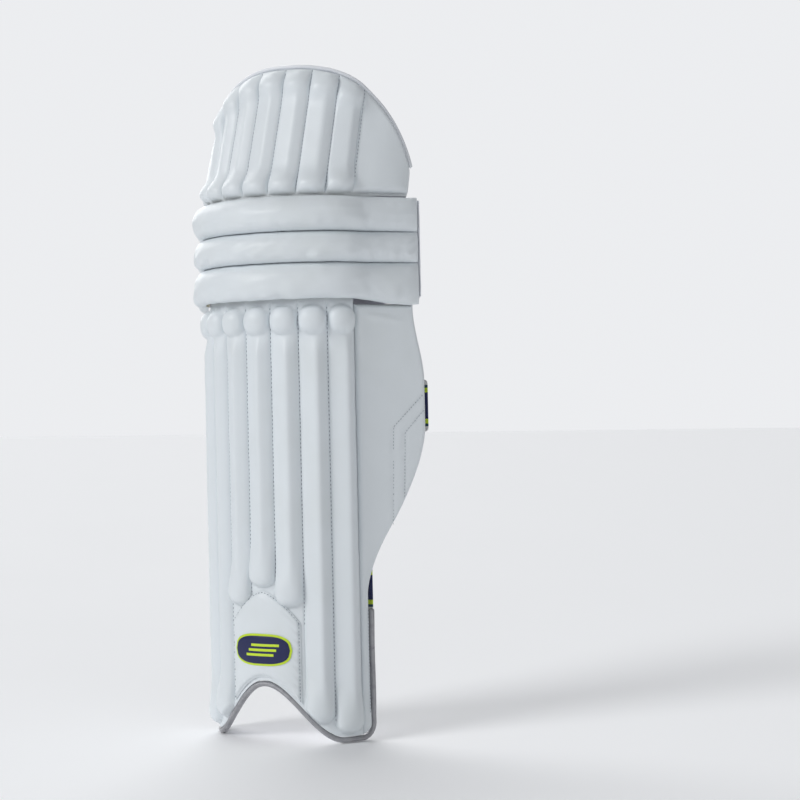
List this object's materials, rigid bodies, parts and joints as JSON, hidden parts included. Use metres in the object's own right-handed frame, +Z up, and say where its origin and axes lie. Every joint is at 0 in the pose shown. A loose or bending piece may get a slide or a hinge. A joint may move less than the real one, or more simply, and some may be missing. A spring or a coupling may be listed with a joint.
{
  "type": "cricket leg pad",
  "caption": "Padded batting leg guard with a ribbed shin face, knee rolls, a leaning top flap, a flexible outer wing and webbing straps that close behind the leg.",
  "frame": {"origin": "on the axis of the wearer's leg, on the pad's centre line, at the level of the floor", "axes": "+X towards the outer side of the leg, -Y the ribbed front face, +Z up the shin towards the knee"},
  "size_m": [0.2699, 0.1457, 0.7026],
  "materials": {
    "face_cover": "satin",
    "satin_lining": "satin",
    "mesh_fabric": "matte",
    "foam": "matte",
    "cane": "matte",
    "brushed_lining": "matte",
    "binding": "satin",
    "webbing": "matte",
    "centre_strip": "satin",
    "hook_patch": "matte",
    "loop_patch": "matte",
    "slider_plastic": "gloss",
    "slider_bar": "satin",
    "instep_patch": "satin",
    "knee_patch": "satin"
  },
  "bodies": {
    "shin": {"shin_face_cover": "face_cover", "shin_cane_1": "cane", "shin_cane_2": "cane", "shin_cane_3": "cane", "shin_cane_4": "cane", "shin_cane_5": "cane", "shin_cane_6": "cane", "shin_cane_7": "cane", "shin_foam_board": "foam", "shin_back_lining": "satin_lining", "instep_panel": "face_cover", "instep_badge": "instep_patch", "bottom_edge_binding": "binding", "inner_wing": "face_cover", "outer_foot_border": "face_cover", "outer_shin_cushion": "mesh_fabric", "inner_shin_cushion": "mesh_fabric", "centre_shin_strip": "centre_strip", "foot_back_pad_1": "satin_lining", "foot_back_pad_2": "satin_lining", "foot_back_pad_3": "satin_lining", "foot_back_pad_4": "satin_lining", "foot_back_pad_5": "satin_lining", "lower_strap_tab": "webbing", "lower_strap_slider": "slider_plastic", "lower_strap_slider_bar": "slider_bar"},
    "outer_wing": {"outer_wing": "face_cover", "outer_wing_lining": "brushed_lining", "middle_strap_loop_tab": "loop_patch"},
    "knee": {"knee_roll_1": "face_cover", "knee_roll_2": "face_cover", "knee_roll_3": "face_cover", "knee_roll_core_1": "foam", "knee_roll_core_2": "foam", "knee_roll_core_3": "foam", "knee_backing_board": "foam", "knee_bolster": "satin_lining", "knee_locator_panel": "mesh_fabric", "knee_locator_badge": "knee_patch", "top_strap_loop_tab": "loop_patch"},
    "flap": {"flap_face_cover": "face_cover", "flap_cane_1": "cane", "flap_cane_2": "cane", "flap_cane_3": "cane", "flap_cane_4": "cane", "flap_cane_5": "cane", "flap_cane_6": "cane", "flap_cane_7": "cane", "flap_foam_board": "foam", "flap_back_lining": "satin_lining", "flap_edge_trim": "face_cover"},
    "top_strap": {"top_strap": "webbing", "top_strap_hook_patch": "hook_patch"},
    "middle_strap": {"middle_strap": "webbing", "middle_strap_hook_patch": "hook_patch"},
    "lower_strap": {"lower_strap": "webbing"}
  },
  "joints": [
    {"name": "knee_bend", "type": "hinge", "parent": "shin", "child": "knee", "pos_m": [0, -0.06, 0.451], "axis": [-1, 0, 0], "range_deg": [0, 8], "stiffness_Nm_per_rad": 12},
    {"name": "flap_tilt", "type": "hinge", "parent": "knee", "child": "flap", "pos_m": [0, -0.06, 0.559], "axis": [-1, 0, 0], "range_deg": [-6, 12], "stiffness_Nm_per_rad": 6},
    {"name": "wing_flex", "type": "hinge", "parent": "shin", "child": "outer_wing", "pos_m": [0.0882, -0.0531, 0.3], "axis": [0, 0, -1], "range_deg": [0, 25], "stiffness_Nm_per_rad": 2},
    {"name": "top_strap_swing", "type": "hinge", "parent": "knee", "child": "top_strap", "pos_m": [-0.116, 0.003, 0.472], "axis": [0, 0, 1], "range_deg": [0, 100]},
    {"name": "middle_strap_swing", "type": "hinge", "parent": "shin", "child": "middle_strap", "pos_m": [-0.092, -0.021, 0.3435], "axis": [0, 0, 1], "range_deg": [0, 100]},
    {"name": "lower_strap_swing", "type": "hinge", "parent": "shin", "child": "lower_strap", "pos_m": [-0.09, -0.031, 0.1565], "axis": [0, 0, 1], "range_deg": [0, 100]}
  ]
}
